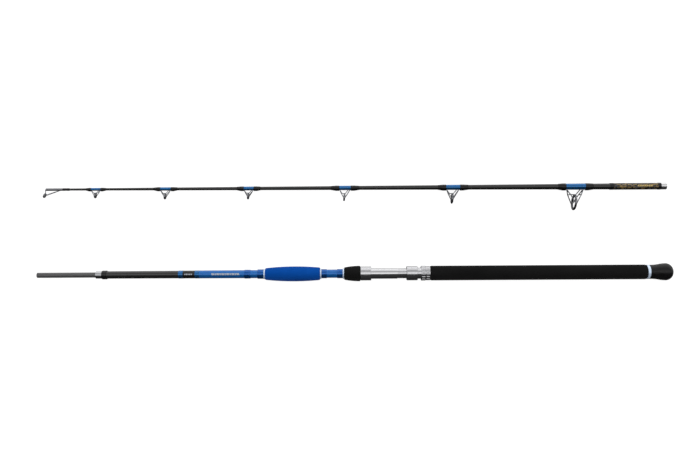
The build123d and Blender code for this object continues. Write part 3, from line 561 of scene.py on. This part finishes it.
THREAD_PITCH = 2.0 * MM
THREAD_ROOT_RADIUS = 9.75 * MM  # as in the CAD
THREAD_SINK = 0.1 * MM  # how far the helix starts below the root
THREAD_PROFILE = ((0.08, 0), (0.36, 1), (0.6, 1), (0.88, 0))  # share of the pitch, root or crest
THREAD_STEPS = 72  # in one turn
KEYWAY_HALF_WIDTH = 1.5 * MM


def make_thread(material):
    """The seat's right-hand thread: a separate turn at a time, each open at the keyway."""
    start, end = span_of("seat_thread")
    crest = radius_of("seat_thread")
    root = THREAD_ROOT_RADIUS - THREAD_SINK
    gap = math.asin(KEYWAY_HALF_WIDTH / THREAD_ROOT_RADIUS)
    turns = int((end - start) / THREAD_PITCH) - 1
    corners = len(THREAD_PROFILE)
    verts, faces = [], []
    for turn in range(turns):
        first = len(verts)
        for step in range(THREAD_STEPS + 1):
            angle = gap + (TAU - 2 * gap) * step / THREAD_STEPS
            across, up = math.cos(angle), math.sin(angle)
            for place, is_crest in THREAD_PROFILE:
                x = start + THREAD_PITCH * (turn + angle / TAU + place)
                radius = crest if is_crest else root
                verts.append((x, BUTT_AXIS[0] + radius * across, BUTT_AXIS[1] + radius * up))
        for step in range(THREAD_STEPS):
            row = first + corners * step
            for corner in range(corners):
                here, beside = row + corner, row + (corner + 1) % corners
                faces.append((here, beside, beside + corners, here + corners))
        last = first + corners * THREAD_STEPS
        faces.append(tuple(reversed(range(first, first + corners))))
        faces.append(tuple(range(last, last + corners)))
    mesh = mesh_from("seat_thread_helix", verts, faces, smooth_angle=25.0)
    new_piece("seat_thread_helix", mesh, "butt_section", "seat_metal", material, "seat_thread")


# ---------------------------------------------------------------- plain marks in place of lettering

MARK_THICKNESS = 0.05 * MM
MARK_SINK = 0.03 * MM  # how far a mark reaches into the lacquer
MARK_ROWS = 6  # of faces across a mark
END_TOLERANCE = 0.01 * MM  # for a vertex that is at the very end of its node

# the bars on the blue sleeve, long and short in turn
BAR_START = 25.0 * MM
BAR_COUNT = 11
BAR_LENGTHS = (5.2 * MM, 2.6 * MM)
BAR_GAP = 1.1 * MM
BAR_WIDTH = 4.4 * MM
BAR_LEAN = -1.6 * MM
BAR_ACROSS = 0.4 * MM


def end_radii(node, axis):
    """The outer radii of a turned node at its two ends."""
    start, end = span_of(node)
    found = [0.0, 0.0]
    for vertex in nodes[node].data.vertices:
        reach = math.hypot(vertex.co.y - axis[0], vertex.co.z - axis[1])
        for index, x in enumerate((start, end)):
            if abs(vertex.co.x - x) < END_TOLERANCE:
                found[index] = max(found[index], reach)
    return found


def lozenges(name, node, axis, body, material, rows):
    """One piece of slanted foil bars on a sleeve, a bar for each (near, far, width, lean, across).

    near and far are measured along the sleeve from its front end, and across round it from its
    top line. Over its width a bar leans along the sleeve by lean."""
    start, end = span_of(node)
    front, rear = end_radii(node, axis)
    verts, faces = [], []
    for near, far, width, lean, across in rows:
        first = len(verts)
        for level in (-MARK_SINK, MARK_THICKNESS):
            for side in range(MARK_ROWS + 1):
                share = side / MARK_ROWS
                arc = across + (share - 0.5) * width
                for along in (near, far):
                    x = start + along + lean * (share - 0.5)
                    radius = front + (rear - front) * (x - start) / (end - start)
                    angle = arc / radius
                    reach = radius + level
                    y = axis[0] + reach * math.sin(angle)
                    verts.append((x, y, axis[1] + reach * math.cos(angle)))
        top = first + 2 * (MARK_ROWS + 1)
        for side in range(MARK_ROWS):
            low, high = first + 2 * side, top + 2 * side
            faces.append((low, low + 1, low + 3, low + 2))
            faces.append((high, high + 2, high + 3, high + 1))
            faces.append((low, low + 2, high + 2, high))
            faces.append((low + 1, high + 1, high + 3, low + 3))
        for low, high in ((first, top), (first + 2 * MARK_ROWS, top + 2 * MARK_ROWS)):
            faces.append((low, high, high + 1, low + 1))
    new_piece(name, mesh_from(name, verts, faces), body, "trim_metal", material)


def evenly(count, start, length, step, width, lean, across):
    """Rows for lozenges(): marks of one length, evenly spaced. All sizes in millimetres."""
    rows = []
    for index in range(count):
        near = start + step * index
        rows.append(tuple(size * MM for size in (near, near + length, width, lean, across)))
    return rows


def sleeve_bars():
    """Rows for lozenges(): long and short bars in turn, with equal gaps."""
    rows = []
    near = BAR_START
    for index in range(BAR_COUNT):
        far = near + BAR_LENGTHS[index % 2]
        rows.append((near, far, BAR_WIDTH, BAR_LEAN, BAR_ACROSS))
        near = far + BAR_GAP
    return rows


def make_marks():
    silver = foil_material("silver_foil", (190, 196, 206), 0.25)
    gold = foil_material("gold_foil", (226, 196, 120), 0.28)

    bars = sleeve_bars()
    lozenges("sleeve_marks", "lacquer_sleeve_front", BUTT_AXIS, "butt_section", silver, bars)

    dashes = evenly(5, start=4.0, length=2.0, step=3.2, width=2.6, lean=0.8, across=0.6)
    lozenges("panel_marks", "data_panel", BUTT_AXIS, "butt_section", silver, dashes)

    lines = []
    for across in (-1.9, 3.1):
        lines += evenly(8, start=6.0, length=8.0, step=10.5, width=0.7, lean=0.5, across=across)
    lines += evenly(7, start=47.0, length=3.4, step=4.4, width=2.2, lean=1.2, across=0.6)
    lozenges("ferrule_marks", "ferrule_sleeve", TIP_AXIS, "tip_section", gold, lines)


# ---------------------------------------------------------------- finishes of the CAD nodes

GUIDE_COUNT = 6


def numbered(pattern):
    """The names of one kind of node, one for each guide."""
    return [pattern.format(number) for number in range(1, GUIDE_COUNT + 1)]


def finish_tip_section():
    blank = blank_material("tip_blank_lacquer", TIP_AXIS, (20, 20, 20), 5.5 * MM)
    black = thread_material("tip_black_thread", TIP_AXIS, (5, 5, 6), (17, 17, 18), 0.0, 0.3)
    blue = thread_material("tip_blue_thread", TIP_AXIS, (0, 40, 96), (34, 132, 204), 0.85, 0.9)
    sleeve = clouded_material("ferrule_lacquer")
    metal = wire_metal_material()
    ceramic = ceramic_material()
    polished = turned_metal_material("ferrule_metal", TIP_AXIS, (246, 246, 247), 0.16, 0.26)
    paint(blank, "tip_blank")
    paint(metal, "tip_top_frame", *numbered("guide_{}_frame"))
    paint(ceramic, "tip_top_ring", *numbered("guide_{}_ring"))
    paint(black, "tip_top_whippings", *numbered("guide_{}_bindings"))
    paint(black, "ferrule_front_band", "ferrule_rear_band")
    paint(blue, *numbered("guide_{}_band"))
    paint(sleeve, "ferrule_sleeve")
    paint(polished, "ferrule_ring")


def finish_butt_section():
    blank = blank_material("butt_blank_lacquer", BUTT_AXIS, (25, 25, 25), 7.0 * MM)
    black = thread_material("butt_black_thread", BUTT_AXIS, (6, 6, 7), (20, 20, 21), 0.0, 0.4)
    bright = thread_material("butt_blue_thread", BUTT_AXIS, (0, 44, 96), (34, 130, 204), 0.85, 0.8)
    deep = thread_material("trim_blue_thread", BUTT_AXIS, (0, 42, 98), (24, 112, 206), 0.85, 0.7)
    lacquer = lacquer_material("blue_lacquer", (10, 84, 158), (30, 124, 204), 0.45, 0.7)
    panel = lacquer_material("panel_lacquer", (11, 11, 12), (26, 25, 23), 0.1, 0.6)
    stop = turned_metal_material("stop_ring_metal", BUTT_AXIS, (206, 207, 210), 0.18, 0.3)
    pearl = pearl_material()
    paint(blank, "butt_blank")
    paint(ground_material(), "spigot")
    paint(stop, "spigot_stop_ring")
    paint(black, "ferrule_knob_binding")
    paint(bright, "panel_bands")
    paint(deep, "trim_bindings")
    paint(lacquer, "lacquer_sleeve_front", "lacquer_sleeve_rear")
    paint(panel, "data_panel")
    paint(pearl, "winding_checks", "rear_trim_ring")
    paint(rubber_material(), "butt_cap")
    paint(resin_material(), "seat_arbors")


def finish_reel_seat():
    tube = turned_metal_material("seat_tube_metal", BUTT_AXIS, (236, 236, 238), 0.1, 0.2)
    hood = turned_metal_material("hood_metal", BUTT_AXIS, (226, 226, 229), 0.14, 0.26)
    nut = turned_metal_material("nut_metal", BUTT_AXIS, (230, 230, 233), 0.14, 0.26)
    nock = turned_metal_material("nock_metal", BUTT_AXIS, (200, 200, 203), 0.2, 0.34)
    paint(tube, "seat_tube")
    paint(hood, "fixed_hood", "sliding_hood")
    paint(nut, "clamp_nut", "lock_nut")
    paint(nock, "gimbal_nock")
    make_thread(tube)


# ---------------------------------------------------------------- floor, light and camera

# the sky all the way round the rods: (degrees from straight up towards +Y, brightness)
SKY = (
    (-180, 0.03), (-100, 0.02), (-18, 0.04), (-11, 0.3), (-5, 0.94), (14, 0.94), (24, 0.45),
    (52, 0.4), (66, 0.75), (80, 1.0), (112, 1.0), (140, 0.6), (162, 0.2), (180, 0.03),
)


def make_floor():
    """The lit table that the sections lie on; it shows in no reflection."""
    mesh = bpy.data.meshes.new("floor")
    work = bmesh.new()
    bmesh.ops.create_grid(work, x_segments=1, y_segments=1, size=FLOOR_SIZE / 2)
    work.to_mesh(mesh)
    work.free()
    floor = bpy.data.objects.new("floor", mesh)
    floor.location.z = cad_low.z
    bpy.context.scene.collection.objects.link(floor)
    n = Nodes("floor_paint")
    n.set(Base_Color=colour(FLOOR_COLOUR), Roughness=0.9, Specular_IOR_Level=0.1)
    n.set(Emission_Color=colour((255, 255, 255)), Emission_Strength=FLOOR_GLOW)
    mesh.materials.append(n.material)
    floor.visible_glossy = False


def make_sky():
    """A studio that is bright overhead and on the +Y side, dark on the -Y side, and white where
    the camera sees it directly."""
    world = bpy.data.worlds.new("studio")
    bpy.context.scene.world = world
    world.use_nodes = True
    tree = world.node_tree
    tree.nodes.clear()
    add = tree.nodes.new
    link = tree.links.new
    coordinates = add("ShaderNodeTexCoord")
    split = add("ShaderNodeSeparateXYZ")
    link(coordinates.outputs["Generated"], split.inputs[0])
    angle = add("ShaderNodeMath")
    angle.operation = "ARCTAN2"
    link(split.outputs["Y"], angle.inputs[0])
    link(split.outputs["Z"], angle.inputs[1])
    share = add("ShaderNodeMapRange")
    link(angle.outputs[0], share.inputs["Value"])
    share.inputs["From Min"].default_value = -math.pi
    share.inputs["From Max"].default_value = math.pi
    ramp = add("ShaderNodeValToRGB")
    link(share.outputs[0], ramp.inputs[0])
    stops = ramp.color_ramp.elements  # it has its two end stops already
    for degrees, _ in SKY[1:-1]:
        stops.new((degrees + 180) / 360)
    for stop, (_, brightness) in zip(stops, SKY):
        stop.color = (brightness, brightness, brightness, 1)
    studio = add("ShaderNodeBackground")
    link(ramp.outputs[0], studio.inputs["Color"])
    studio.inputs["Strength"].default_value = SKY_STRENGTH
    pale = add("ShaderNodeBackground")
    pale.inputs["Color"].default_value = colour(BACKDROP_COLOUR)
    path = add("ShaderNodeLightPath")
    mix = add("ShaderNodeMixShader")
    link(path.outputs["Is Camera Ray"], mix.inputs[0])
    link(studio.outputs[0], mix.inputs[1])
    link(pale.outputs[0], mix.inputs[2])
    link(mix.outputs[0], add("ShaderNodeOutputWorld").inputs["Surface"])


def make_fill():
    """A wide soft lamp overhead; it lights the matt surfaces and shows in no reflection."""
    light = bpy.data.lights.new("fill", "AREA")
    light.shape = "SQUARE"
    light.size = FILL_SIZE
    light.energy = FILL_POWER
    lamp = bpy.data.objects.new("fill", light)
    lamp.location = FILL_PLACE
    lamp.rotation_euler = (math.radians(FILL_TILT), 0, 0)
    lamp.visible_glossy = False
    lamp.visible_camera = False
    bpy.context.scene.collection.objects.link(lamp)


def make_camera():
    """Straight down from over the middle, turned very slightly about its own line of sight."""
    middle = (cad_low + cad_high) / 2
    data = bpy.data.cameras.new("camera")
    data.lens = CAMERA_LENS
    data.sensor_width = CAMERA_SENSOR
    camera = bpy.data.objects.new("camera", data)
    camera.location = (
        middle.x + CAMERA_OFFSET[0],
        middle.y + CAMERA_OFFSET[1],
        middle.z + CAMERA_HEIGHT,
    )
    camera.rotation_euler = (0, 0, math.radians(CAMERA_ROLL))
    bpy.context.scene.collection.objects.link(camera)
    bpy.context.scene.camera = camera


make_camera()
make_floor()
make_sky()
make_fill()
bpy.context.scene.view_settings.view_transform = "Standard"

finish_tip_section()
finish_butt_section()
finish_reel_seat()
make_grips()
make_marks()
